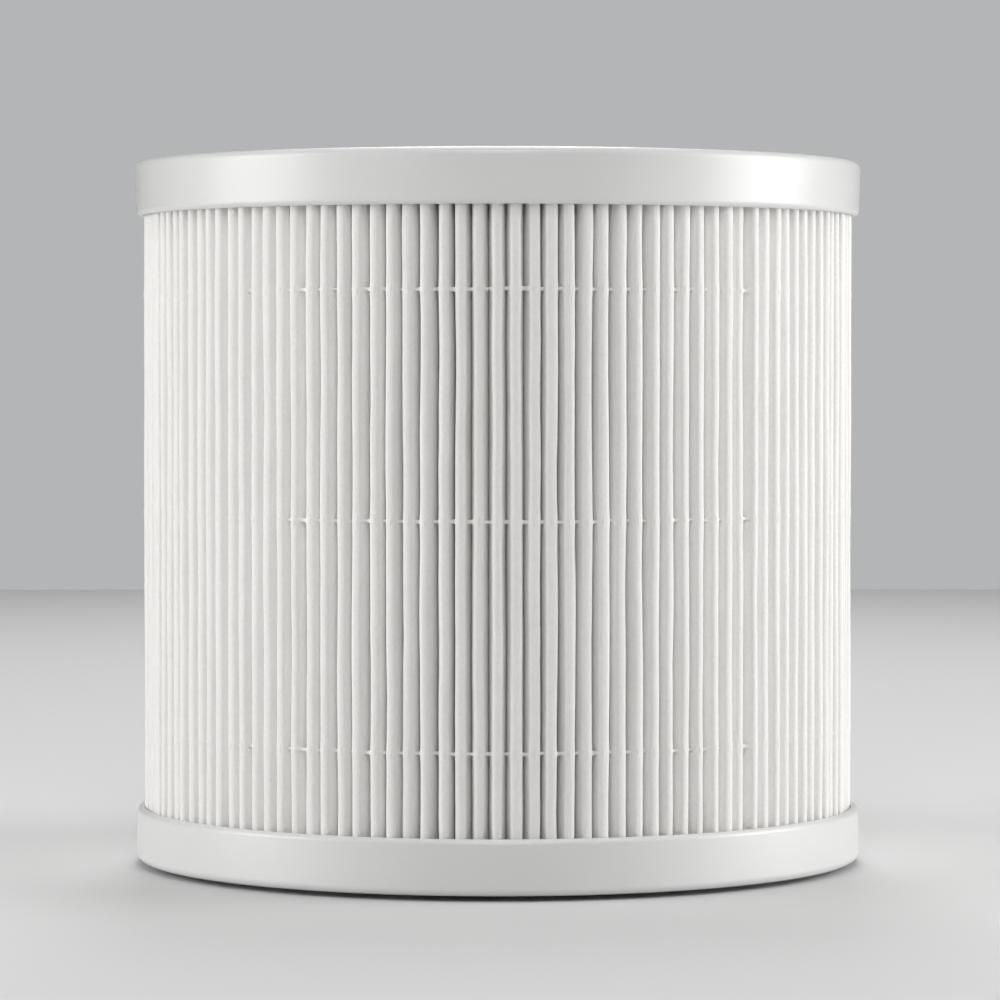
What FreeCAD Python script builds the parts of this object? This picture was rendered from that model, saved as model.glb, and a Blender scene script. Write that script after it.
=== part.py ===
"""Cylindrical pleated filter cartridge for a table-top air purifier.

Dirty air enters through the pleats all round, crosses the carbon bed and leaves
upwards through the open centre. Two identical moulded end caps hold the pleat
pack, the carbon bed and the centre cage in a ring of potting adhesive.

Frame: millimetres, +Z up, origin at the centre of the base, where the lower
gasket meets the surface the cartridge stands on. -Y is the front.
"""

import math
import os

import FreeCAD
import Part

# ---- driving dimensions -------------------------------------------------------

CAP_SPAN = 161.0            # outer face of the lower cap to outer face of the upper cap
CAP_RADIUS = 84.0
CAP_DEPTH = 12.3            # height of a cap's outer skirt
PASSAGE_RADIUS = 47.0       # open centre, where the fan's inlet spigot goes
GASKET_PROUD = 1.0          # how far each gasket stands out of its cap

PLEATS = 132
PLEAT_OUTER_RADIUS = 82.1   # over the outer fold tips
PLEAT_INNER_RADIUS = 60.2   # inside the inner folds
MEDIA_THICKNESS = 0.45
FOLD_RADIUS = 0.6           # at the middle of the media's thickness

BEAD_PITCH = 50.0           # height between rows of hot-melt beads
BEAD_HEIGHT = 1.2
BEAD_REACH = 4.0            # how far a bead goes in from the fold tips
BEAD_PROUD = 0.15           # glue standing over each fold tip

CAGE_RIBS = 12
CAGE_WINDOW_ROWS = 6

# ---- end cap section, measured from the cap's outer face ----------------------

SKIRT_WALL = 1.8
SKIRT_DRAFT = 0.3           # the skirt is this much narrower at its mouth
WEB_THICKNESS = 1.8
COLLAR_WALL = 1.8
COLLAR_DEPTH = 10.0
FACE_RECESS = 0.6           # flat between the raised rim and the gasket seat
RIM_WIDTH = 3.9
RIM_SLOPE = 0.6
SEAT_DEPTH = 1.5
SEAT_INNER_RADIUS = 50.0
SEAT_OUTER_RADIUS = 61.0
SEAT_SHOULDER = 1.3         # seat wall to the slope under it, inside the trough
SKIRT_FACE_ROUND = 1.8
SKIRT_MOUTH_ROUND = 1.2
PASSAGE_ROUND = 1.0
SMALL_ROUND = 0.25
COLLAR_ROUND = 0.5

GATE_WELLS = 3
GATE_WELL_RADIUS = 2.6
GATE_WELL_DEPTH = 0.3
GATE_STUB_RADIUS = 0.8
GATE_STUB_HEIGHT = 0.25

# ---- what the caps hold, from the centre outwards -----------------------------

CAGE_INNER_RADIUS = 49.3
CAGE_OUTER_RADIUS = 50.8
NET_THICKNESS = 0.5
CARBON_THICKNESS = 7.0
SCRIM_THICKNESS = 0.4

PACK_INSET = 4.3            # cap face to the ends of the pleats, nets and cage
POTTING_LEVEL = 7.0         # cap face to the surface of the set adhesive

TAPE_THICKNESS = 0.2
GASKET_EDGE_GAP = 0.3       # between a gasket and the walls of its seat

CAGE_END_HOOP = 10.0        # solid hoop at each end of the cage
CAGE_HOOP = 3.0
CAGE_RIB_WIDTH = 4.0
CAGE_WINDOW_ROUND = 2.0

SEAM_FILL = 3.0             # radial depth of the glue that joins the strip's ends
SEAM_WIDTH = 2.4            # wider than the fold, so that the fold's walls trim it

# ---- worked out from the above ------------------------------------------------

LOWER_FACE = GASKET_PROUD
UPPER_FACE = LOWER_FACE + CAP_SPAN
MIDDLE = (LOWER_FACE + UPPER_FACE) / 2
PACK_BOTTOM = LOWER_FACE + PACK_INSET
PACK_TOP = UPPER_FACE - PACK_INSET
PACK_HEIGHT = PACK_TOP - PACK_BOTTOM

TROUGH_INNER_RADIUS = PASSAGE_RADIUS + COLLAR_WALL
TROUGH_OUTER_RADIUS = CAP_RADIUS - SKIRT_WALL
TROUGH_FLOOR = FACE_RECESS + WEB_THICKNESS
SEAT_FLOOR = SEAT_DEPTH + WEB_THICKNESS
SEAT_FOOT_RADIUS = SEAT_OUTER_RADIUS + SEAT_SHOULDER
SEAT_SLOPE_END_RADIUS = SEAT_FOOT_RADIUS + SEAT_FLOOR - TROUGH_FLOOR
GASKET_INNER_RADIUS = SEAT_INNER_RADIUS + GASKET_EDGE_GAP
GASKET_OUTER_RADIUS = SEAT_OUTER_RADIUS - GASKET_EDGE_GAP

CARBON_INNER_RADIUS = CAGE_OUTER_RADIUS + NET_THICKNESS
CARBON_OUTER_RADIUS = CARBON_INNER_RADIUS + CARBON_THICKNESS
OUTER_NET_RADIUS = CARBON_OUTER_RADIUS + NET_THICKNESS
SCRIM_RADIUS = OUTER_NET_RADIUS + SCRIM_THICKNESS

PLEAT_ANGLE = 2 * math.pi / PLEATS
FRONT = -math.pi / 2
BACK = math.pi / 2
FULL_TURN = 360
UP = FreeCAD.Vector(0, 0, 1)
ORIGIN = FreeCAD.Vector(0, 0, 0)


# ---- general shapes -----------------------------------------------------------


def polar(radius, angle, z=0.0):
    return FreeCAD.Vector(radius * math.cos(angle), radius * math.sin(angle), z)


def turned_by(point, angle):
    return polar(math.hypot(point.x, point.y), math.atan2(point.y, point.x) + angle)


def mirrored_across(point, angle):
    """The point mirrored in the radial line at that angle."""
    return polar(math.hypot(point.x, point.y), 2 * angle - math.atan2(point.y, point.x))


def at_height(shape, z):
    moved = shape.copy()
    moved.translate(UP * z)
    return moved


def raised(face, bottom, top):
    return at_height(face, bottom).extrude(UP * (top - bottom))


def mirrored_to_top(shape):
    """The same piece at the other end of the cartridge."""
    return shape.mirror(UP * MIDDLE, UP)


def face_between(outer, inner):
    """Flat face inside one closed wire and outside the other."""
    return Part.makeFace([outer, inner], "Part::FaceMakerBullseye")


def flat_ring(inner_radius, outer_radius):
    outer = Part.Wire(Part.makeCircle(outer_radius))
    inner = Part.Wire(Part.makeCircle(inner_radius))
    return face_between(outer, inner)


def tube(inner_radius, outer_radius, bottom, top):
    outer = Part.makeCylinder(outer_radius, top - bottom, UP * bottom)
    inner = Part.makeCylinder(inner_radius, top - bottom, UP * bottom)
    return outer.cut(inner)


def turned(corners):
    """Solid of revolution from (radius, z, rounding) corners of its section."""
    points = [FreeCAD.Vector(r, 0, z) for r, z, _ in corners]
    starts, ends, arcs = [], [], []
    for i, (_, _, rounding) in enumerate(corners):
        here = points[i]
        back = (points[i - 1] - here).normalize()
        ahead = (points[(i + 1) % len(points)] - here).normalize()
        half_angle = back.getAngle(ahead) / 2
        trim = rounding / math.tan(half_angle)
        starts.append(here + back * trim)
        ends.append(here + ahead * trim)
        bisector = (back + ahead).normalize()
        apex = here + bisector * (rounding / math.sin(half_angle) - rounding)
        arcs.append(Part.Arc(starts[i], apex, ends[i]).toShape() if rounding else None)
    edges = []
    for i, arc in enumerate(arcs):
        if arc:
            edges.append(arc)
        edges.append(Part.LineSegment(ends[i], starts[(i + 1) % len(arcs)]).toShape())
    return Part.Face(Part.Wire(edges)).revolve(ORIGIN, UP, FULL_TURN)


# ---- end caps and gaskets -----------------------------------------------------


def cap_section():
    rim_top = CAP_RADIUS - RIM_WIDTH
    return [
        (PASSAGE_RADIUS, 0, PASSAGE_ROUND),
        (SEAT_INNER_RADIUS, 0, SMALL_ROUND),
        (SEAT_INNER_RADIUS, SEAT_DEPTH, 0),
        (SEAT_OUTER_RADIUS, SEAT_DEPTH, 0),
        (SEAT_OUTER_RADIUS, FACE_RECESS, SMALL_ROUND),
        (rim_top - RIM_SLOPE, FACE_RECESS, SMALL_ROUND),
        (rim_top, 0, SMALL_ROUND),
        (CAP_RADIUS, 0, SKIRT_FACE_ROUND),
        (CAP_RADIUS - SKIRT_DRAFT, CAP_DEPTH, SKIRT_MOUTH_ROUND),
        (TROUGH_OUTER_RADIUS, CAP_DEPTH, SMALL_ROUND),
        (TROUGH_OUTER_RADIUS, TROUGH_FLOOR, 0),
        (SEAT_SLOPE_END_RADIUS, TROUGH_FLOOR, 0),
        (SEAT_FOOT_RADIUS, SEAT_FLOOR, 0),
        (TROUGH_INNER_RADIUS, SEAT_FLOOR, 0),
        (TROUGH_INNER_RADIUS, COLLAR_DEPTH, COLLAR_ROUND),
        (PASSAGE_RADIUS, COLLAR_DEPTH, COLLAR_ROUND),
    ]


def end_cap():
    """Lower end cap: a round trough with a gasket seat and moulding gate wells."""
    cap = at_height(turned(cap_section()), LOWER_FACE)
    well_circle = (SEAT_OUTER_RADIUS + CAP_RADIUS - RIM_WIDTH) / 2
    for i in range(GATE_WELLS):
        angle = FRONT + 2 * math.pi * (i + 0.5) / GATE_WELLS
        centre = polar(well_circle, angle, LOWER_FACE + FACE_RECESS)
        well = Part.makeCylinder(GATE_WELL_RADIUS, GATE_WELL_DEPTH, centre)
        stub_base = centre + UP * (GATE_WELL_DEPTH - GATE_STUB_HEIGHT)
        stub = Part.makeCylinder(GATE_STUB_RADIUS, GATE_STUB_HEIGHT, stub_base)
        cap = cap.cut(well.cut(stub))
    return cap


def gasket():
    """Die-cut closed-cell foam ring, standing proud of the lower cap."""
    seat = LOWER_FACE + SEAT_DEPTH
    return tube(GASKET_INNER_RADIUS, GASKET_OUTER_RADIUS, 0, seat - TAPE_THICKNESS)


def gasket_tape():
    """Double-sided tape that holds the foam ring in its seat."""
    seat = LOWER_FACE + SEAT_DEPTH
    return tube(GASKET_INNER_RADIUS, GASKET_OUTER_RADIUS, seat - TAPE_THICKNESS, seat)


# ---- pleat pack ---------------------------------------------------------------


def pleat_outline(side):
    """Closed wire of one face of the folded strip.

    side is +1 for the face that looks outwards and -1 for the one that looks in.
    Each wall of a pleat is a straight line tangent to the fold at both its ends.
    """
    half = MEDIA_THICKNESS / 2
    tip_radius = FOLD_RADIUS + side * half
    root_radius = FOLD_RADIUS - side * half
    tip = polar(PLEAT_OUTER_RADIUS - half - FOLD_RADIUS, 0)
    root = polar(PLEAT_INNER_RADIUS + half + FOLD_RADIUS, PLEAT_ANGLE / 2)
    run = root - tip
    cross = math.asin(2 * FOLD_RADIUS / run.Length)
    wall_normal = polar(1, math.atan2(run.y, run.x) - math.pi / 2 + cross)
    wall_start = tip + wall_normal * tip_radius
    wall_end = root - wall_normal * root_radius
    tip_apex = tip + polar(tip_radius, 0)
    root_apex = root - polar(root_radius, PLEAT_ANGLE / 2)

    edges = []
    for i in range(PLEATS):
        angle = FRONT + i * PLEAT_ANGLE
        tip_start = turned_by(mirrored_across(wall_start, 0), angle)
        tip_end = turned_by(wall_start, angle)
        root_start = turned_by(wall_end, angle)
        root_end = turned_by(mirrored_across(wall_end, PLEAT_ANGLE / 2), angle)
        next_tip_start = turned_by(tip_start, PLEAT_ANGLE)
        edges.append(Part.Arc(tip_start, turned_by(tip_apex, angle), tip_end).toShape())
        edges.append(Part.LineSegment(tip_end, root_start).toShape())
        edges.append(Part.Arc(root_start, turned_by(root_apex, angle), root_end).toShape())
        edges.append(Part.LineSegment(root_end, next_tip_start).toShape())
    return Part.Wire(edges)


def media_section():
    """The folded strip seen from above, closed on itself at the glued seam."""
    return face_between(pleat_outline(+1), pleat_outline(-1))


def glue_row(section, inner_radius, outer_radius, height):
    """One row of hot-melt: fills the valleys near the folds and runs over each fold."""
    pieces = flat_ring(inner_radius, outer_radius).cut(section).Faces
    bridging = max(pieces, key=lambda piece: piece.Area)
    return raised(bridging, height - BEAD_HEIGHT / 2, height + BEAD_HEIGHT / 2)


def seam_glue(section):
    """Hot-melt in the bottom of one valley at the back, where the strip's ends meet."""
    angle = BACK + PLEAT_ANGLE / 2
    near = PLEAT_INNER_RADIUS + MEDIA_THICKNESS
    middle = near + SEAM_FILL / 2
    strip = Part.makePlane(SEAM_FILL + MEDIA_THICKNESS, SEAM_WIDTH)
    strip.translate(FreeCAD.Vector(near - MEDIA_THICKNESS, -SEAM_WIDTH / 2, 0))
    strip.rotate(ORIGIN, UP, math.degrees(angle))
    pieces = strip.cut(section).Faces
    in_valley = min(pieces, key=lambda piece: (piece.CenterOfMass - polar(middle, angle)).Length)
    return raised(in_valley, LOWER_FACE + POTTING_LEVEL, UPPER_FACE - POTTING_LEVEL)


def potting(section):
    """Adhesive poured into the lower trough, with the ends of the pack set in it."""
    trough_section = [
        (TROUGH_INNER_RADIUS, SEAT_FLOOR, 0),
        (SEAT_FOOT_RADIUS, SEAT_FLOOR, 0),
        (SEAT_SLOPE_END_RADIUS, TROUGH_FLOOR, 0),
        (TROUGH_OUTER_RADIUS, TROUGH_FLOOR, 0),
        (TROUGH_OUTER_RADIUS, PACK_INSET, 0),
        (TROUGH_INNER_RADIUS, PACK_INSET, 0),
    ]
    adhesive = at_height(turned(trough_section), LOWER_FACE)
    around_pack = flat_ring(TROUGH_INNER_RADIUS, TROUGH_OUTER_RADIUS)
    around_pack = around_pack.cut(flat_ring(CAGE_INNER_RADIUS, SCRIM_RADIUS)).cut(section)
    for face in around_pack.Faces:
        adhesive = adhesive.fuse(raised(face, PACK_BOTTOM, LOWER_FACE + POTTING_LEVEL))
    return adhesive.removeSplitter()


# ---- inside the pleats --------------------------------------------------------


def cage_window(width, height):
    """Round-cornered block that passes through one side of the cage."""
    start = FreeCAD.Vector(CAGE_INNER_RADIUS / 2, -width / 2, 0)
    block = Part.makeBox(CAGE_OUTER_RADIUS, width, height, start)
    radial = [e for e in block.Edges if abs(e.tangentAt(e.FirstParameter).x) > 0.5]
    return block.makeFillet(CAGE_WINDOW_ROUND, radial)


def centre_cage():
    """Moulded cage that keeps the centre open: hoops joined by upright ribs."""
    cage = tube(CAGE_INNER_RADIUS, CAGE_OUTER_RADIUS, PACK_BOTTOM, PACK_TOP)
    row_pitch = (PACK_HEIGHT - 2 * CAGE_END_HOOP + CAGE_HOOP) / CAGE_WINDOW_ROWS
    window_width = 2 * math.pi * CAGE_INNER_RADIUS / CAGE_RIBS - CAGE_RIB_WIDTH
    window = cage_window(window_width, row_pitch - CAGE_HOOP)
    for row in range(CAGE_WINDOW_ROWS):
        for rib in range(CAGE_RIBS):
            opening = at_height(window, PACK_BOTTOM + CAGE_END_HOOP + row * row_pitch)
            opening.rotate(ORIGIN, UP, FULL_TURN * (rib + 0.5) / CAGE_RIBS)
            cage = cage.cut(opening)
    return cage


def sleeve(inner_radius, outer_radius):
    """Plain tube as long as the pleat pack."""
    return tube(inner_radius, outer_radius, PACK_BOTTOM, PACK_TOP)


# ---- the cartridge ------------------------------------------------------------


def main():
    section = media_section()
    nodes = {
        "pleated_media": raised(section, PACK_BOTTOM, PACK_TOP),
        "media_seam_glue": seam_glue(section),
        "centre_cage": centre_cage(),
        "carbon_inner_net": sleeve(CAGE_OUTER_RADIUS, CARBON_INNER_RADIUS),
        "carbon_pellets": sleeve(CARBON_INNER_RADIUS, CARBON_OUTER_RADIUS),
        "carbon_outer_net": sleeve(CARBON_OUTER_RADIUS, OUTER_NET_RADIUS),
        "dust_scrim": sleeve(OUTER_NET_RADIUS, SCRIM_RADIUS),
    }
    lower_pieces = {
        "end_cap": end_cap(),
        "gasket": gasket(),
        "gasket_tape": gasket_tape(),
        "potting": potting(section),
    }
    for name, shape in lower_pieces.items():
        nodes[f"bottom_{name}"] = shape
        nodes[f"top_{name}"] = mirrored_to_top(shape)

    outer_reach = (PLEAT_OUTER_RADIUS - BEAD_REACH, PLEAT_OUTER_RADIUS + BEAD_PROUD)
    inner_reach = (PLEAT_INNER_RADIUS - BEAD_PROUD, PLEAT_INNER_RADIUS + BEAD_REACH)
    for name, rows_up in {"lower": -1, "middle": 0, "upper": 1}.items():
        height = MIDDLE + rows_up * BEAD_PITCH
        nodes[f"outer_glue_bead_{name}"] = glue_row(section, *outer_reach, height)
        nodes[f"inner_glue_bead_{name}"] = glue_row(section, *inner_reach, height)

    os.makedirs("parts", exist_ok=True)
    for name, shape in nodes.items():
        print(f"{name}: {len(shape.Solids)} solid, {shape.Volume / 1000:.2f} cm3")
        shape.exportStep(f"parts/{name}.step")


main()
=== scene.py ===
"""Looks of a cylindrical pleated filter cartridge for a table-top air purifier.

Metres, +Z up, -Y the front, origin at the centre of the base. The cage, the scrim,
the potting, the tapes, the seam glue and the inner glue are the design's own shapes.
The pleats, outer glue, caps, gaskets, nets and carbon pellets are modelled here, in the
places that the design gives them.
"""

import math
import random

import bmesh
import bpy
from mathutils import Matrix, Vector, noise


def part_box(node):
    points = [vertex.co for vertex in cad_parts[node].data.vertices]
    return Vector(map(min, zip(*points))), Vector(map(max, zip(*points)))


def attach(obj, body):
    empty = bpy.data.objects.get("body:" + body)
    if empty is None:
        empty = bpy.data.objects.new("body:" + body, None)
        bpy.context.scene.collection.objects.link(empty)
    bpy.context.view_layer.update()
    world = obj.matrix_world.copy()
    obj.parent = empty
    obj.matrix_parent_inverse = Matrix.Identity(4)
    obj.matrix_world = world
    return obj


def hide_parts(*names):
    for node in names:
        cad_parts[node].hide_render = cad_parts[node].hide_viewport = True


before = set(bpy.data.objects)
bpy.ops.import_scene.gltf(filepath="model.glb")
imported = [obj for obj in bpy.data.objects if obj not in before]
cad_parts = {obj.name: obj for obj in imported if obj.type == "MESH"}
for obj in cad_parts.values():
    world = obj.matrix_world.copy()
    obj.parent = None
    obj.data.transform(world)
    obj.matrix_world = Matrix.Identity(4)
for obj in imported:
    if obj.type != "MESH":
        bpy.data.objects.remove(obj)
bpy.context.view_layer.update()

MM = 0.001
FULL_TURN = 2 * math.pi
UP = Vector((0, 0, 1))
CENTRE = Vector((0, 0, 0))

# ---- sizes, from the design ---------------------------------------------------

ROWS = ("lower", "middle", "upper")
media_low, media_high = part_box("pleated_media")
PACK_BOTTOM = media_low.z
PACK_TOP = media_high.z
PLEAT_OUTER_RADIUS = media_high.x
PLEAT_INNER_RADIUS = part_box("dust_scrim")[1].x + 1.0 * MM
BEAD_HEIGHTS = [sum(c.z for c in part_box(f"outer_glue_bead_{row}")) / 2 for row in ROWS]
PLEATS = 132
PLEAT_ANGLE = FULL_TURN / PLEATS
FRONT = -math.pi / 2

MEDIA_THICKNESS = 0.45 * MM
FOLD_RADIUS = 0.42 * MM

# ---- how uneven a machine-folded strip is -------------------------------------

TIP_SPACING_SPREAD = 0.28 * MM      # tips set closer or wider where the glue set
TIP_WANDER = 0.32 * MM              # tips bend between the rows that hold them
WANDER_LENGTH = 26 * MM
RIPPLE_LENGTH = 9 * MM
RIPPLE_SHARE = 0.4                  # of the wander's size
TIP_DEPTH_SPREAD = 0.55 * MM
DEPTH_PER_TIP = 0.4                 # share of that spread which differs from tip to tip
DEPTH_ALONG_TIP = 0.3               # share of it which comes and goes along one tip
DEPTH_LENGTH = 30 * MM
ROOT_SPREAD = 0.30 * MM
WALL_BOW = 0.2 * MM
BOW_LENGTH = 32 * MM
WALL_BULGE = 1.4 * MM               # the sheet springs open behind each outer fold
BULGE_DEPTH = 1.3 * MM
BULGE_SPREAD = 0.4
BULGE_LENGTH = 40 * MM
BULGE_FADES = 0.4                   # share of the depth, from the inner fold, where it fades
CLEARANCE = 0.26 * MM               # of a wall from the middle of its valley
CLEARANCE_FROM = 0.2                # share of the depth, from the inner fold
FOLD_WIDTH_SPREAD = 0.16
FOLD_ENDS = 3.0 * MM                # a fold's own width fades out this far inside the pack
FOLD_FULL = 0.5 * MM                # and is full from here outwards
HELD_REACH = 8.0 * MM               # how far from a row its hold on the tips fades
SWELL_HEIGHT = 1.9 * MM             # glue swells a fold this far above and below a row
SWELL = 0.22

# seeds, so that each kind of unevenness goes its own way
WANDER_SEED, RIPPLE_SEED, DEPTH_SEED, BOW_SEED, DRIFT_SEED, BULGE_SEED = 1, 2, 3, 4, 5, 6


def draws(seed, count):
    """Repeatable random numbers from -1 to 1."""
    source = random.Random(seed)
    return [source.uniform(-1, 1) for _ in range(count)]


TIP_SPACING = draws(11, PLEATS)
TIP_DEPTH = draws(12, PLEATS)
ROOT_PLACE = draws(13, PLEATS)
FOLD_WIDTH = draws(14, PLEATS)
VALLEY_SAG = draws(15, PLEATS)
VALLEY_STRING = draws(16, PLEATS)


LANE_STEP = 3.17        # far enough apart in the noise for neighbours to differ
OFF_GRID = Vector((0.37, 0, 0.61))      # the noise is always 0 at whole numbers


def smooth_noise(lane, along, length, seed):
    """Slow wander from -1 to 1, over that length of feature, different in each lane."""
    return noise.noise(Vector((lane * LANE_STEP, along / length, seed)) + OFF_GRID)


def smooth_step(low, high, value):
    """0 below low and 1 above high, with an even rise between."""
    t = min(max((value - low) / (high - low), 0), 1)
    return t * t * (3 - 2 * t)


def bell(distance, width):
    """1 at no distance, falling away over the width."""
    return math.exp(-((distance / width) ** 2))


def freedom(z):
    """0 where glue or potting holds the tips, rising to 1 between."""
    held = BEAD_HEIGHTS + [PACK_BOTTOM, PACK_TOP]
    return 1 - max(bell(z - h, HELD_REACH) for h in held)


def tip_shift(index, z):
    """How far a fold tip is off its even place round the pack."""
    index %= PLEATS
    wander = smooth_noise(index, z, WANDER_LENGTH, WANDER_SEED)
    wander += RIPPLE_SHARE * smooth_noise(index, z, RIPPLE_LENGTH, RIPPLE_SEED)
    return TIP_SPACING_SPREAD * TIP_SPACING[index] + TIP_WANDER * freedom(z) * wander


def tip_retreat(index, z):
    """How far a fold tip sits inside the pack's outer radius."""
    index %= PLEATS
    depth = 0.5 + DEPTH_PER_TIP * TIP_DEPTH[index]
    depth += DEPTH_ALONG_TIP * smooth_noise(index, z, DEPTH_LENGTH, DEPTH_SEED)
    return TIP_DEPTH_SPREAD * min(max(depth, 0), 1)


def swelling(z):
    """1 at a glue row, falling to 0 above and below it."""
    return sum(bell(z - h, SWELL_HEIGHT) for h in BEAD_HEIGHTS)


def wall_shift(side, lane, outness, z):
    """How far a wall stands from its even place, springing open and bowing."""
    depth = PLEAT_OUTER_RADIUS - PLEAT_INNER_RADIUS
    sprung = 1 - math.exp(-(1 - outness) * depth / BULGE_DEPTH)
    bulge = WALL_BULGE * sprung * smooth_step(0, BULGE_FADES, outness)
    bulge *= 1 + BULGE_SPREAD * smooth_noise(lane, z, BULGE_LENGTH, BULGE_SEED)
    bow = math.sin(math.pi * outness) * freedom(z)
    return side * bulge + WALL_BOW * bow * smooth_noise(lane, z, BOW_LENGTH, BOW_SEED)


def fold_widening(index, radius, z):
    """Factor on a fold's width: its own, and the swelling at a glue row."""
    near = PLEAT_OUTER_RADIUS - FOLD_ENDS
    nearness = smooth_step(near, PLEAT_OUTER_RADIUS - FOLD_FULL, radius)
    return 1 + nearness * (FOLD_WIDTH_SPREAD * FOLD_WIDTH[index % PLEATS] + SWELL * swelling(z))


def settle(point):
    """Move a point of the evenly folded strip to where the real strip lies.

    Returns the new point and how far along the strip it is, for the weave.
    """
    radius = math.hypot(point.x, point.y)
    turn = math.atan2(point.y, point.x) - FRONT
    index = round(turn / PLEAT_ANGLE)
    local = turn - index * PLEAT_ANGLE
    side = 1 if local > 0 else -1
    valley = index if side > 0 else index - 1
    lane = (2 * index + side) % (2 * PLEATS)
    depth = PLEAT_OUTER_RADIUS - PLEAT_INNER_RADIUS
    outness = min(max((radius - PLEAT_INNER_RADIUS) / depth, 0), 1)

    own = tip_shift(index, point.z)
    across = radius * local * fold_widening(index, radius, point.z)
    across += wall_shift(side, lane, outness, point.z)
    across += outness * own
    across += (1 - outness) * ROOT_SPREAD * ROOT_PLACE[valley % PLEATS]
    if outness > CLEARANCE_FROM:
        neighbour = tip_shift(index + side, point.z)
        middle = side * radius * PLEAT_ANGLE / 2 + outness * (own + neighbour) / 2
        across = side * min(side * across, side * middle - CLEARANCE)
    new_radius = radius - outness * tip_retreat(index, point.z)

    angle = FRONT + index * PLEAT_ANGLE + across / radius
    moved = Vector((new_radius * math.cos(angle), new_radius * math.sin(angle), point.z))
    return moved, (2 * index + side * (1 - outness)) * depth


# ---- colours and nodes --------------------------------------------------------


def linear(hex_colour, alpha=1.0):
    """Linear RGBA from an sRGB hex colour such as "F2F1EC"."""
    channels = [int(hex_colour[i : i + 2], 16) / 255 for i in (0, 2, 4)]
    dark = [c / 12.92 for c in channels]
    light = [((c + 0.055) / 1.055) ** 2.4 for c in channels]
    return (*[d if c <= 0.04045 else b for c, d, b in zip(channels, dark, light)], alpha)


def add_node(tree, kind, links=None, values=None, **settings):
    """Add a node, set its properties and socket values, and link its inputs."""
    node = tree.nodes.new(kind)
    for name, value in settings.items():
        setattr(node, name, value)
    for socket, value in (values or {}).items():
        node.inputs[socket].default_value = value
    for socket, source in (links or {}).items():
        tree.links.new(source, node.inputs[socket])
    return node


def start_material(name, **shader_values):
    """New material; returns it with its node tree and its Principled shader."""
    material = bpy.data.materials.new(name)
    material.use_nodes = True
    tree = material.node_tree
    shader = tree.nodes["Principled BSDF"]
    for socket, value in shader_values.items():
        shader.inputs[socket.replace("_", " ")].default_value = value
    return material, tree, shader


def per_mm(size_mm):
    """Pattern scale for a feature of that size in millimetres."""
    return 1 / (size_mm * MM)


def pattern_space(tree, *size_mm):
    """Object coordinates, counted in pattern features of the given size along X, Y and Z."""
    coordinates = add_node(tree, "ShaderNodeTexCoord")
    scale = [per_mm(size) for size in size_mm]
    mapping = add_node(
        tree, "ShaderNodeMapping", {"Vector": coordinates.outputs["Object"]}, {"Scale": scale}
    )
    return mapping.outputs["Vector"]


def patches(tree, size_mm, detail=2.0, raggedness=0.5):
    """Irregular soft-edged patches, from 0 to 1, of the given size along X, Y and Z."""
    links = {"Vector": pattern_space(tree, *size_mm)}
    values = {"Scale": 1.0, "Detail": detail, "Roughness": raggedness}
    return add_node(tree, "ShaderNodeTexNoise", links, values).outputs["Fac"]


NOISE_LOW = 0.3         # nearly all of a noise pattern lies between these two values
NOISE_HIGH = 0.7


def vary_surface(tree, shader, pattern, colours, roughness=None, depth=0.0, span=(0.35, 0.65)):
    """Let one pattern vary a surface's colour, its roughness and its height together."""
    ramp = add_node(tree, "ShaderNodeValToRGB", {"Fac": pattern})
    for stop, position, colour in zip(ramp.color_ramp.elements, span, colours):
        stop.position = position
        stop.color = linear(colour)
    tree.links.new(ramp.outputs["Color"], shader.inputs["Base Color"])
    if roughness:
        smooth, rough = roughness
        values = {"From Min": NOISE_LOW, "From Max": NOISE_HIGH, "To Min": smooth, "To Max": rough}
        gloss = add_node(tree, "ShaderNodeMapRange", {"Value": pattern}, values)
        tree.links.new(gloss.outputs["Result"], shader.inputs["Roughness"])
    if depth:
        bump = add_node(tree, "ShaderNodeBump", {"Height": pattern}, {"Distance": depth})
        tree.links.new(bump.outputs["Normal"], shader.inputs["Normal"])


# ---- materials ----------------------------------------------------------------


def moulded_abs():
    """White ABS, injection moulded: a clean satin skin over slow, faint flow patches."""
    material, tree, shader = start_material(
        "moulded_white_abs", IOR=1.53, Coat_Weight=0.4, Coat_Roughness=0.42
    )
    flow = patches(tree, (35, 35, 35), detail=1)
    vary_surface(tree, shader, flow, ("E2E2E1", "E6E6E5"), (0.33, 0.36), 0.02 * MM)
    return material


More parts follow.
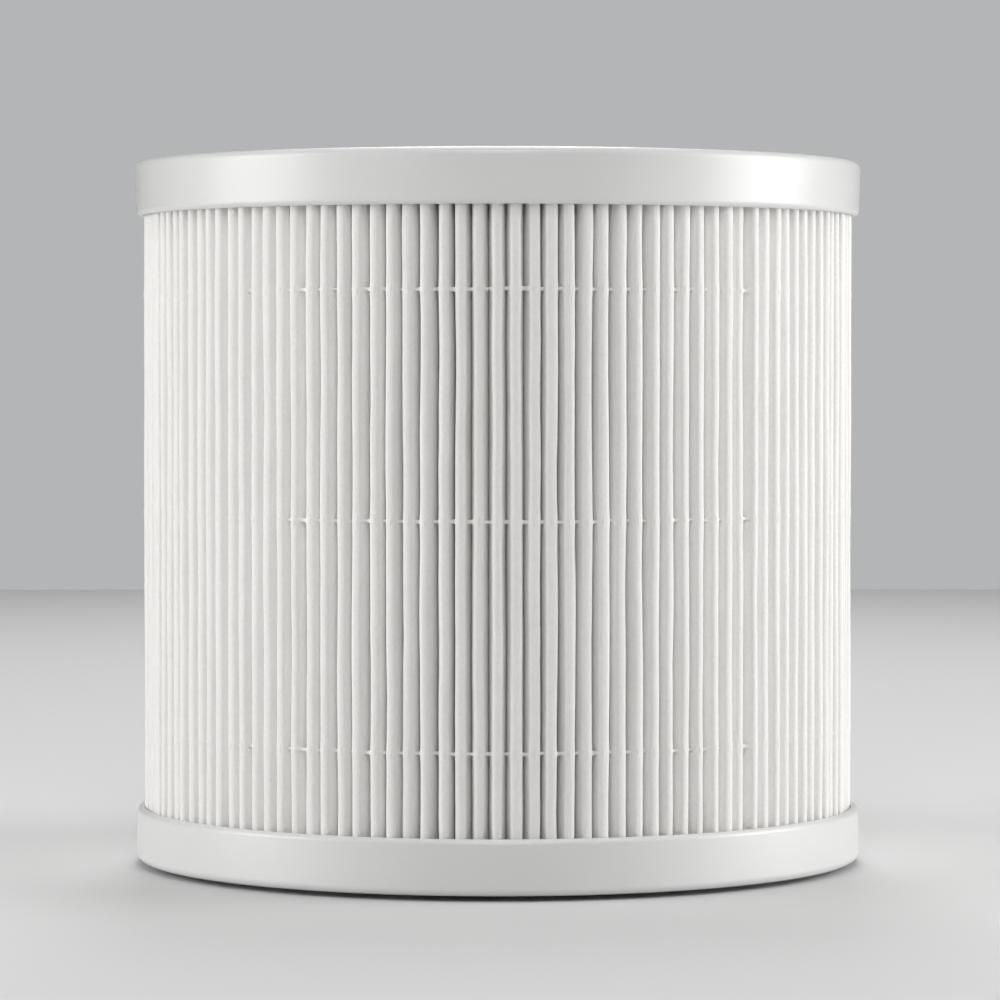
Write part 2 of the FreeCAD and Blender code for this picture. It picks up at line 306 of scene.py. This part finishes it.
def pleated_nonwoven():
    """Glass and polypropylene nonwoven on a scrim: matt, fibrous, slightly cloudy."""
    material, tree, shader = start_material(
        "pleated_nonwoven", IOR=1.45, Roughness=0.9, Sheen_Weight=0.05, Sheen_Roughness=0.5
    )
    fibres = patches(tree, (0.55, 0.55, 0.75), detail=4, raggedness=0.65)
    cloud = patches(tree, (7, 7, 11))
    mix = add_node(
        tree, "ShaderNodeMath", {0: cloud, 2: fibres}, {1: 0.3}, operation="MULTIPLY_ADD"
    )
    vary_surface(tree, shader, mix.outputs["Value"], ("F0EFEC", "F8F7F5"), span=(0.4, 0.9))
    strip = add_node(tree, "ShaderNodeUVMap", uv_map="strip").outputs["UV"]
    lattice = []
    for slant in (35, -35):
        turned = add_node(
            tree, "ShaderNodeMapping", {"Vector": strip},
            {"Rotation": (0, 0, math.radians(slant)), "Scale": [per_mm(0.9)] * 3},
        )
        threads = add_node(
            tree, "ShaderNodeTexWave", {"Vector": turned.outputs["Vector"]},
            {"Scale": 0.32, "Distortion": 1.5, "Detail": 1.0},
        )
        lattice.append(threads.outputs["Fac"])
    scrim = add_node(tree, "ShaderNodeMath", {0: lattice[0], 1: lattice[1]}, operation="MULTIPLY")
    under = add_node(
        tree, "ShaderNodeBump", {"Height": scrim.outputs["Value"]},
        {"Distance": 0.05 * MM, "Strength": 0.5},
    )
    over = add_node(
        tree, "ShaderNodeBump", {"Height": fibres, "Normal": under.outputs["Normal"]},
        {"Distance": 0.09 * MM, "Strength": 0.8},
    )
    tree.links.new(over.outputs["Normal"], shader.inputs["Normal"])
    return material


def hot_melt():
    """EVA hot-melt: milky, a little waxy, smooth where it set."""
    material, tree, shader = start_material(
        "eva_hot_melt", IOR=1.49, Subsurface_Weight=0.1, Subsurface_Scale=0.5 * MM,
        Subsurface_Radius=(1.0, 0.96, 0.9),
    )
    ripple = patches(tree, (1.1, 1.1, 1.1), detail=1)
    vary_surface(tree, shader, ripple, ("EDECE8", "F5F4F1"), (0.32, 0.48), 0.05 * MM)
    return material


def poured_adhesive():
    """Poured two-part polyurethane: smooth, glossy, gently uneven."""
    material, tree, shader = start_material("poured_polyurethane", IOR=1.5)
    sag = patches(tree, (4, 4, 4), detail=1)
    vary_surface(tree, shader, sag, ("E6E2D6", "EFECE3"), (0.2, 0.34), 0.12 * MM)
    return material


def closed_cell_foam():
    """Die-cut closed-cell EVA foam: dark, dull, with a fine cell print."""
    material, tree, shader = start_material("closed_cell_foam", IOR=1.45, Roughness=0.88)
    vary_surface(tree, shader, patches(tree, (9, 9, 9)), ("2C2C2E", "38383A"))
    cells = add_node(
        tree, "ShaderNodeTexVoronoi", {"Vector": pattern_space(tree, 0.5, 0.5, 0.5)},
        {"Scale": 1.0, "Randomness": 1.0},
    )
    print_depth = {"Distance": 0.12 * MM, "Strength": 0.7}
    bump = add_node(tree, "ShaderNodeBump", {"Height": cells.outputs["Distance"]}, print_depth)
    tree.links.new(bump.outputs["Normal"], shader.inputs["Normal"])
    return material


def carrier_tape():
    """White polyester carrier tape with acrylic adhesive: thin and smooth."""
    material, tree, shader = start_material("double_sided_tape", IOR=1.47, Roughness=0.4)
    crease = patches(tree, (3, 3, 3))
    vary_surface(tree, shader, crease, ("E2E1DC", "EBEAE6"), depth=0.02 * MM)
    return material


def moulded_polypropylene():
    """Natural white polypropylene: waxier and greyer than the caps' ABS."""
    material, tree, shader = start_material("moulded_polypropylene", IOR=1.49)
    flow = patches(tree, (2.5, 2.5, 14))
    vary_surface(tree, shader, flow, ("E4E4DF", "EBEBE7"), (0.4, 0.52), 0.03 * MM)
    return material


def extruded_net():
    """Black extruded polypropylene net: satin strands with draw marks."""
    material, tree, shader = start_material("extruded_black_net", IOR=1.49)
    marks = patches(tree, (0.8, 0.8, 0.8))
    vary_surface(tree, shader, marks, ("171718", "222223"), (0.38, 0.55), 0.03 * MM)
    return material


def pelletised_carbon():
    """Extruded activated carbon: dull black, pitted, dusted grey."""
    material, tree, shader = start_material("pelletised_carbon", IOR=1.5)
    dust = patches(tree, (1.6, 1.6, 1.6), detail=4, raggedness=0.7)
    vary_surface(tree, shader, dust, ("1A1A1B", "333335"), (0.62, 0.9), span=(0.4, 0.75))
    pits = patches(tree, (0.35, 0.35, 0.35), detail=3)
    bump = add_node(tree, "ShaderNodeBump", {"Height": pits}, {"Distance": 0.08 * MM})
    tree.links.new(bump.outputs["Normal"], shader.inputs["Normal"])
    return material


def spunbond():
    """White spunbond polypropylene scrim: thin, fibrous, faintly bright."""
    material, tree, shader = start_material("spunbond_scrim", IOR=1.49, Roughness=0.8)
    fibres = patches(tree, (0.5, 0.5, 1.5), detail=4, raggedness=0.6)
    vary_surface(tree, shader, fibres, ("E8E8E4", "F6F6F3"), depth=0.06 * MM)
    return material


ABS = moulded_abs()
NONWOVEN = pleated_nonwoven()
HOT_MELT = hot_melt()
POTTING = poured_adhesive()
FOAM = closed_cell_foam()
TAPE = carrier_tape()
POLYPROPYLENE = moulded_polypropylene()
NET = extruded_net()
CARBON = pelletised_carbon()
SCRIM = spunbond()


# ---- pieces -------------------------------------------------------------------


MERGE_DISTANCE = 0.01 * MM
MIRROR_MERGE = 0.001 * MM


def finish_piece(name, bm, material, slot, *nodes, sharp_degrees=40):
    """Make a bmesh into a piece that rides on the cartridge and stands for CAD nodes."""
    for face in bm.faces:
        face.smooth = True
    for edge in bm.edges:
        edge.smooth = edge.calc_face_angle(0) < math.radians(sharp_degrees)
    mesh = bpy.data.meshes.new(name)
    bm.to_mesh(mesh)
    bm.free()
    mesh.materials.append(material)
    piece = bpy.data.objects.new(name, mesh)
    bpy.context.scene.collection.objects.link(piece)
    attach(piece, "root")
    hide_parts(*nodes)
    return piece


def thicken(piece, thickness):
    """Give a sheet its thickness, half on either side."""
    solidify = piece.modifiers.new("thickness", "SOLIDIFY")
    solidify.thickness = thickness
    solidify.offset = 0
    return piece


def dress(node, material):
    """Give a carried-over CAD node its material."""
    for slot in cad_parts[node].material_slots:
        slot.material = material


TIP_STEPS = 4
ROOT_STEPS = 3
WALL_CUTS = 4


def half_pleat(bm):
    """Section of half a pleat: fold tip on +X, wall, then the inner fold's middle."""
    half_sheet = MEDIA_THICKNESS / 2
    tip = Vector((PLEAT_OUTER_RADIUS - half_sheet - FOLD_RADIUS, 0, PACK_BOTTOM))
    inner = PLEAT_INNER_RADIUS + half_sheet + FOLD_RADIUS
    half_angle = PLEAT_ANGLE / 2
    root = Vector((inner * math.cos(half_angle), inner * math.sin(half_angle), PACK_BOTTOM))
    run = root - tip
    cross = math.asin(2 * FOLD_RADIUS / run.length)
    tip_sweep = math.atan2(run.y, run.x) - math.pi / 2 + cross
    root_sweep = tip_sweep - half_angle
    tip_side = Vector((math.cos(tip_sweep), math.sin(tip_sweep), 0)) * FOLD_RADIUS

    start = bm.verts.new(tip + Vector((FOLD_RADIUS, 0, 0)))
    arc = bmesh.ops.spin(bm, geom=[start], cent=tip, axis=UP, angle=tip_sweep, steps=TIP_STEPS)
    last = arc["geom_last"][0]
    wall = bmesh.ops.extrude_vert_indiv(bm, verts=[last])
    last = wall["verts"][0]
    last.co = root - tip_side
    bmesh.ops.spin(bm, geom=[last], cent=root, axis=UP, angle=-root_sweep, steps=ROOT_STEPS)
    bmesh.ops.subdivide_edges(bm, edges=wall["edges"], cuts=WALL_CUTS)


LEVEL_SPACING = 6 * MM
LEVELS_BY_GLUE = (0, 0.9 * MM, 1.8 * MM, 3.2 * MM, LEVEL_SPACING)


def strip_levels():
    """Heights of the strip's rows of points: close together where the glue crosses it."""
    levels = {PACK_BOTTOM, PACK_TOP}
    for height in BEAD_HEIGHTS:
        levels.update(height + sign * step for step in LEVELS_BY_GLUE for sign in (-1, 1))
    levels = sorted(levels)
    filled = []
    for low, high in zip(levels, levels[1:]):
        steps = max(round((high - low) / LEVEL_SPACING), 1)
        filled += [low + (high - low) * i / steps for i in range(steps)]
    return filled + [PACK_TOP]


def pleated_strip(name, first, count):
    """Some neighbouring pleats of the folded strip, from inner fold to inner fold."""
    bm = bmesh.new()
    half_pleat(bm)
    half = bm.verts[:] + bm.edges[:]
    bmesh.ops.mirror(bm, geom=half, matrix=Matrix(), merge_dist=MIRROR_MERGE, axis="Y")
    turned = Matrix.Rotation(FRONT + first * PLEAT_ANGLE, 3, "Z")
    bmesh.ops.rotate(bm, verts=bm.verts, cent=CENTRE, matrix=turned)
    bmesh.ops.spin(
        bm, geom=bm.verts[:] + bm.edges[:], cent=CENTRE, axis=UP,
        angle=PLEAT_ANGLE * (count - 1), steps=count - 1, use_duplicate=True,
    )
    bmesh.ops.remove_doubles(bm, verts=bm.verts, dist=MERGE_DISTANCE)
    levels = strip_levels()
    edges = bm.edges[:]
    for low, high in zip(levels, levels[1:]):
        row = bmesh.ops.extrude_edge_only(bm, edges=edges)["geom"]
        verts = {item for item in row if isinstance(item, bmesh.types.BMVert)}
        edges = [item for item in row if isinstance(item, bmesh.types.BMEdge)]
        edges = [edge for edge in edges if set(edge.verts) <= verts]
        bmesh.ops.translate(bm, verts=list(verts), vec=(0, 0, high - low))
    bm.verts.index_update()
    along = []
    for vert in bm.verts:
        vert.co, distance = settle(vert.co)
        along.append(distance)
    weave = bm.loops.layers.uv.new("strip")
    for face in bm.faces:
        for loop in face.loops:
            loop[weave].uv = (along[loop.vert.index], loop.vert.co.z)
    bmesh.ops.recalc_face_normals(bm, faces=bm.faces)
    piece = finish_piece(name, bm, NONWOVEN, "filter_media", "pleated_media", sharp_degrees=80)
    return thicken(piece, MEDIA_THICKNESS)


BEAD_STEPS = 16                 # sections of the string for each pleat
BEAD_SIDES = 10
BEAD_SECTION = 0.5 * MM         # radius of the round string before it is shaped
BEAD_SAG = 1.5 * MM
BEAD_SAG_SPREAD = 0.45
BEAD_THIN = 0.27 * MM           # half of the string's thickness in the middle of a valley
BEAD_THIN_SPREAD = 0.3
BEAD_DEEP = 0.45 * MM           # half of its depth where it wets a fold tip
BEAD_CLIMB = 1.7 * MM           # how far it creeps up and down a fold tip
BEAD_FILLET = 0.5 * MM          # how fast that creep falls off beside the tip
BEAD_PROUD = 0.1 * MM
BEAD_DRIFT = 0.2 * MM           # how far the string strays up and down
BEAD_DRIFT_PLEATS = 2.2
ROW_OFFSET = 17                 # valleys by which one row's thickness differs from the next


def glue_bead(name, node, height, seed):
    """String of hot-melt across the fold tips, sagging a little into each valley."""
    bm = bmesh.new()
    middle = Vector((0, -PLEAT_OUTER_RADIUS, height))
    upright = Matrix.Translation(middle) @ Matrix.Rotation(math.pi / 2, 4, "Y")
    bmesh.ops.create_circle(bm, segments=BEAD_SIDES, radius=BEAD_SECTION, matrix=upright)
    bmesh.ops.spin(
        bm, geom=bm.edges[:], cent=CENTRE, axis=UP, angle=PLEAT_ANGLE, steps=BEAD_STEPS
    )
    bmesh.ops.spin(
        bm, geom=bm.faces[:], cent=CENTRE, axis=UP,
        angle=FULL_TURN - PLEAT_ANGLE, steps=PLEATS - 1, use_duplicate=True,
    )
    bmesh.ops.remove_doubles(bm, verts=bm.verts, dist=MERGE_DISTANCE)
    for vert in bm.verts:
        vert.co = bead_point(vert.co, height, seed)
    bmesh.ops.recalc_face_normals(bm, faces=bm.faces)
    return finish_piece(name, bm, HOT_MELT, "hot_melt_glue", node)


def bead_point(point, height, seed):
    """Shape one point of a round string lying evenly on the outer radius."""
    radius = math.hypot(point.x, point.y)
    turn = math.atan2(point.y, point.x) - FRONT
    outward = (radius - PLEAT_OUTER_RADIUS) / BEAD_SECTION
    upward = (point.z - height) / BEAD_SECTION
    position = turn / PLEAT_ANGLE
    left = math.floor(position)
    share = position - left
    shift = (1 - share) * tip_shift(left, height) + share * tip_shift(left + 1, height)
    retreat = (1 - share) * tip_retreat(left, height) + share * tip_retreat(left + 1, height)
    beside = min(share, 1 - share) * PLEAT_ANGLE * PLEAT_OUTER_RADIUS
    creep = math.exp(-max(beside - FOLD_RADIUS, 0) / BEAD_FILLET)
    valley = left % PLEATS
    sag = BEAD_SAG * (1 + BEAD_SAG_SPREAD * VALLEY_SAG[valley]) * math.sin(math.pi * share) ** 2
    string = VALLEY_STRING[(valley + seed * ROW_OFFSET) % PLEATS]
    thin = BEAD_THIN * (1 + BEAD_THIN_SPREAD * string)
    drift = BEAD_DRIFT * smooth_noise(seed, position, BEAD_DRIFT_PLEATS, DRIFT_SEED)
    tall = thin + BEAD_CLIMB * creep
    deep = thin + (BEAD_DEEP - thin) * creep
    new_radius = PLEAT_OUTER_RADIUS + BEAD_PROUD - retreat - sag + (outward - 1) * deep
    angle = FRONT + turn + shift / PLEAT_OUTER_RADIUS
    z = height + drift + upward * tall
    return Vector((new_radius * math.cos(angle), new_radius * math.sin(angle), z))


SPIN_STEPS = 360
CORNER_STEPS = 5
FLAT_LIMIT = 35         # degrees; a sharper corner than this stays crisp


def spun_section(corners, face_height, into):
    """Ring spun from (radius, depth, rounding) corners, in mm, measured in from a face."""
    bm = bmesh.new()
    verts = [bm.verts.new((r * MM, 0, face_height + into * z * MM)) for r, z, _ in corners]
    bm.faces.new(verts)
    for rounding in sorted({corner[2] for corner in corners} - {0}):
        chosen = [vert for vert, corner in zip(verts, corners) if corner[2] == rounding]
        bmesh.ops.bevel(
            bm, geom=chosen, offset=rounding * MM, offset_type="OFFSET", affect="VERTICES",
            segments=CORNER_STEPS, profile=0.5, material=-1,
        )
    bmesh.ops.delete(bm, geom=bm.faces[:], context="FACES_ONLY")
    bmesh.ops.spin(
        bm, geom=bm.edges[:], cent=CENTRE, axis=UP, angle=FULL_TURN, steps=SPIN_STEPS, use_merge=True
    )
    bmesh.ops.recalc_face_normals(bm, faces=bm.faces)
    return bm


def even_shading(piece):
    """Flat faces shade flat and only the rounded corners turn the light."""
    shading = piece.modifiers.new("even_shading", "WEIGHTED_NORMAL")
    shading.keep_sharp = True
    return piece


# radius, depth from the cap's face, and rounding, in mm
CAP_CORNERS = (
    (47.0, 0, 1.0),         # passage edge
    (50.0, 0, 0.25),        # gasket seat
    (50.0, 1.5, 0),
    (61.0, 1.5, 0),
    (61.0, 0.6, 0.25),      # flat between the seat and the raised rim
    (79.5, 0.6, 0.25),
    (80.1, 0, 0.25),
    (84.0, 0, 1.8),         # skirt
    (83.7, 12.3, 1.2),
    (82.2, 12.3, 0.25),
    (82.2, 2.4, 0),         # trough
    (63.2, 2.4, 0),
    (62.3, 3.3, 0),
    (48.8, 3.3, 0),
    (48.8, 10.0, 0.5),      # collar
    (47.0, 10.0, 0.5),
)
GATE_MARKS = 3
GATE_CIRCLE = 70.55 * MM
GATE_RADIUS = 2.6 * MM
GATE_PROUD = 0.12 * MM
GATE_SIDES = 32
FACE_RECESS = 0.6 * MM          # of the flat face behind the raised rim


def gate_marks(bm, height, downwards):
    """Flat round witness marks of the mould's gates, standing just off a cap's face."""
    flip = Matrix.Rotation(math.pi if downwards else 0, 4, "X")
    stand = height - GATE_PROUD if downwards else height + GATE_PROUD
    for i in range(GATE_MARKS):
        angle = FRONT + FULL_TURN * (i + 0.5) / GATE_MARKS
        centre = (GATE_CIRCLE * math.cos(angle), GATE_CIRCLE * math.sin(angle), stand)
        spot = Matrix.Translation(centre) @ flip
        bmesh.ops.create_circle(
            bm, cap_ends=True, segments=GATE_SIDES, radius=GATE_RADIUS, matrix=spot
        )


def end_cap(name, node, at_top):
    """Moulded round trough: skirt, raised rim, gasket seat and passage collar."""
    low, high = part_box(node)
    face_height = high.z if at_top else low.z
    inward = -1 if at_top else 1
    bm = spun_section(CAP_CORNERS, face_height, inward)
    gate_marks(bm, face_height + inward * FACE_RECESS, not at_top)
    return even_shading(finish_piece(name, bm, ABS, "end_cap_white", node, sharp_degrees=FLAT_LIMIT))


FOAM_WIDTH_MM = 10.4
FOAM_EDGE_MM = 0.3


def foam_ring(name, node):
    """Die-cut foam ring with softened edges."""
    low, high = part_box(node)
    thick = (high.z - low.z) / MM
    outer = high.x / MM
    inner = outer - FOAM_WIDTH_MM
    edge = FOAM_EDGE_MM
    corners = ((inner, 0, edge), (outer, 0, edge), (outer, thick, edge), (inner, thick, edge))
    bm = spun_section(corners, low.z, 1)
    return even_shading(finish_piece(name, bm, FOAM, "gasket_foam", node, sharp_degrees=FLAT_LIMIT))


NET_PITCH = 3.2 * MM
NET_STRAND = 0.8 * MM
NET_THICKNESS = 0.45 * MM


def net_tube(name, node):
    """Square-mesh extruded net, rolled into a tube."""
    low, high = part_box(node)
    bm = bmesh.new()
    start = bm.verts.new((high.x - NET_THICKNESS / 2, 0, low.z))
    line = bmesh.ops.extrude_vert_indiv(bm, verts=[start])
    line["verts"][0].co.z = high.z
    rows = round((high.z - low.z) / NET_PITCH)
    columns = round(FULL_TURN * high.x / NET_PITCH)
    bmesh.ops.subdivide_edges(bm, edges=line["edges"], cuts=rows - 1)
    bmesh.ops.spin(
        bm, geom=bm.edges[:], cent=CENTRE, axis=UP, angle=FULL_TURN, steps=columns, use_merge=True
    )
    holes = bm.faces[:]
    bmesh.ops.inset_individual(bm, faces=holes, thickness=NET_STRAND / 2, use_even_offset=True)
    bmesh.ops.delete(bm, geom=holes, context="FACES_ONLY")
    bmesh.ops.recalc_face_normals(bm, faces=bm.faces)
    piece = finish_piece(name, bm, NET, "net_black", node)
    return thicken(piece, NET_THICKNESS)


PELLET_DIAMETER = 3.0 * MM
PELLET_LENGTH = 4.6 * MM
PELLET_LAYERS = 2
PELLET_SIDES = 7
PELLET_SEED = 21
END_GAP = 1.04              # pellet lengths from one pellet to the next
ROW_GAP = 1.08              # pellet widths from one row to the next
PELLET_JITTER = 0.2 * MM
PELLET_SHUFFLE = 0.1        # of its place in the ring
PELLET_SLANT = 0.5          # radians either way from lying along the ring
SHORT_PELLET = 0.7
LONG_PELLET = 1.1


def pellet_row(source, radius, z, low_z, high_z):
    """One ring of pellets, each lying its own way."""
    bm = bmesh.new()
    columns = int(FULL_TURN * radius / (PELLET_LENGTH * END_GAP))
    offset = source.random()
    for column in range(columns):
        height = z + source.uniform(-PELLET_JITTER, PELLET_JITTER)
        height = min(max(height, low_z + PELLET_LENGTH / 2), high_z - PELLET_LENGTH / 2)
        stand = radius + source.uniform(-PELLET_JITTER, PELLET_JITTER)
        spot = Matrix.Translation((stand, 0, height))
        share = column + offset + source.uniform(-PELLET_SHUFFLE, PELLET_SHUFFLE)
        slant = math.pi / 2 + source.uniform(-PELLET_SLANT, PELLET_SLANT)
        round_ring = Matrix.Rotation(FULL_TURN * share / columns, 4, "Z")
        bmesh.ops.create_cone(
            bm, cap_ends=True, segments=PELLET_SIDES, radius1=PELLET_DIAMETER / 2,
            radius2=PELLET_DIAMETER / 2,
            depth=PELLET_LENGTH * source.uniform(SHORT_PELLET, LONG_PELLET),
            matrix=round_ring @ spot @ Matrix.Rotation(slant, 4, "X"),
        )
    ring = bpy.data.meshes.new("pellet_row")
    bm.to_mesh(ring)
    bm.free()
    return ring


def carbon_bed(name, node):
    """Pelletised carbon, poured: short rods lying at random between the two nets."""
    low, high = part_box(node)
    inner_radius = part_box("carbon_inner_net")[1].x
    source = random.Random(PELLET_SEED)
    bm = bmesh.new()
    layer_depth = (high.x - inner_radius) / PELLET_LAYERS
    rows = int((high.z - low.z) / (PELLET_DIAMETER * ROW_GAP))
    for layer in range(PELLET_LAYERS):
        radius = inner_radius + (layer + 0.5) * layer_depth
        for row in range(rows):
            z = low.z + (row + 0.5) * (high.z - low.z) / rows
            ring = pellet_row(source, radius, z, low.z, high.z)
            bm.from_mesh(ring)
            bpy.data.meshes.remove(ring)
    return finish_piece(name, bm, CARBON, "activated_carbon", node, sharp_degrees=60)


# ---- the cartridge ------------------------------------------------------------


def build_pleats():
    """The strip in four quarter turns, because a piece has a limit on its triangles."""
    sector = PLEATS // 4
    for number, side in enumerate(("front", "right", "back", "left")):
        first = number * sector - sector // 2
        pleated_strip(f"pleated_media_{side}", first, sector)


def build_glue():
    for seed, row in enumerate(ROWS):
        node = f"outer_glue_bead_{row}"
        glue_bead(f"hot_melt_bead_{row}", node, BEAD_HEIGHTS[seed], seed)
        dress(f"inner_glue_bead_{row}", HOT_MELT)
    dress("media_seam_glue", HOT_MELT)


def build_inside():
    net_tube("net_inside_carbon", "carbon_inner_net")
    net_tube("net_outside_carbon", "carbon_outer_net")
    carbon_bed("carbon_pellet_bed", "carbon_pellets")
    dress("centre_cage", POLYPROPYLENE)
    dress("dust_scrim", SCRIM)


def build_ends():
    for end in ("top", "bottom"):
        end_cap(f"{end}_cap_moulding", f"{end}_end_cap", end == "top")
        dress(f"{end}_potting", POTTING)
        foam_ring(f"{end}_foam_ring", f"{end}_gasket")
        dress(f"{end}_gasket_tape", TAPE)


build_pleats()
build_glue()
build_inside()
build_ends()


# ---- floor, light and camera --------------------------------------------------

FLOOR_SIZE = 2.6
FLOOR_GAP = 0.2 * MM                # keeps the floor off the lower gasket's face
FILL_STRENGTH = 0.03
BACKDROP = "B4B5B6"
CAMERA_PLACE = (0.0005, -1.0366, 0.1134)
CAMERA_DOWN = 1.63                  # degrees below level
LENS = 160.3


def plain(name, colour, roughness):
    """Even matt finish, for the stage only."""
    return start_material(name, Roughness=roughness, Base_Color=linear(colour))[0]


def floor():
    """Pale table top."""
    bpy.ops.mesh.primitive_plane_add(size=FLOOR_SIZE, location=(0, 0, 0))
    sheet = bpy.context.object
    sheet.name = "floor"
    sheet.data.transform(Matrix.Translation((0, 0, -FLOOR_GAP)))
    sheet.data.materials.append(plain("pale_floor", "D8D8D8", 0.8))


def softbox(name, bearing, rise, power, size=(0.35, 1.1), reach=1.3):
    """Soft light aimed at the cartridge. Bearing 0 is in front, 90 to the right, in degrees."""
    data = bpy.data.lights.new(name, "AREA")
    data.shape = "RECTANGLE"
    data.size, data.size_y = size
    data.energy = power
    lamp = bpy.data.objects.new(name, data)
    bpy.context.scene.collection.objects.link(lamp)
    lifted = Matrix.Rotation(-math.radians(rise), 3, "X") @ Vector((0, -reach, 0))
    offset = Matrix.Rotation(math.radians(bearing), 3, "Z") @ lifted
    lamp.location = Vector((0, 0, (PACK_BOTTOM + PACK_TOP) / 2)) + offset
    lamp.rotation_euler = (-offset).to_track_quat("-Z", "Y").to_euler()


def studio():
    """Dim even fill, a grey backdrop that gives no light, and five soft lights."""
    world = bpy.data.worlds.new("studio")
    world.use_nodes = True
    tree = world.node_tree
    dim = tree.nodes["Background"]
    dim.inputs["Color"].default_value = linear("FFFFFF")
    dim.inputs["Strength"].default_value = FILL_STRENGTH
    pale = add_node(tree, "ShaderNodeBackground", None, {"Color": linear(BACKDROP)})
    seen = add_node(tree, "ShaderNodeLightPath").outputs["Is Camera Ray"]
    links = {0: seen, 1: dim.outputs["Background"], 2: pale.outputs["Background"]}
    both = add_node(tree, "ShaderNodeMixShader", links)
    tree.links.new(both.outputs["Shader"], tree.nodes["World Output"].inputs["Surface"])
    bpy.context.scene.world = world
    softbox("right_softbox", 89, 12, 15.8, (0.8, 1.1))
    softbox("left_softbox", -78, 12, 12.0, (0.8, 1.1))
    softbox("front_softbox", 0, 38, 4.2)
    softbox("back_top_softbox", 180, 50, 6.0)
    softbox("overhead_softbox", 0, 90, 42, (5, 5), reach=3)


def camera():
    """Long lens, in front and a little above the middle, looking slightly down."""
    data = bpy.data.cameras.new("camera")
    data.sensor_width = 36
    data.lens = LENS
    viewer = bpy.data.objects.new("camera", data)
    bpy.context.scene.collection.objects.link(viewer)
    viewer.location = CAMERA_PLACE
    viewer.rotation_euler = (math.radians(90 - CAMERA_DOWN), 0, 0)
    bpy.context.scene.camera = viewer


floor()
studio()
camera()
bpy.context.scene.view_settings.view_transform = "Standard"
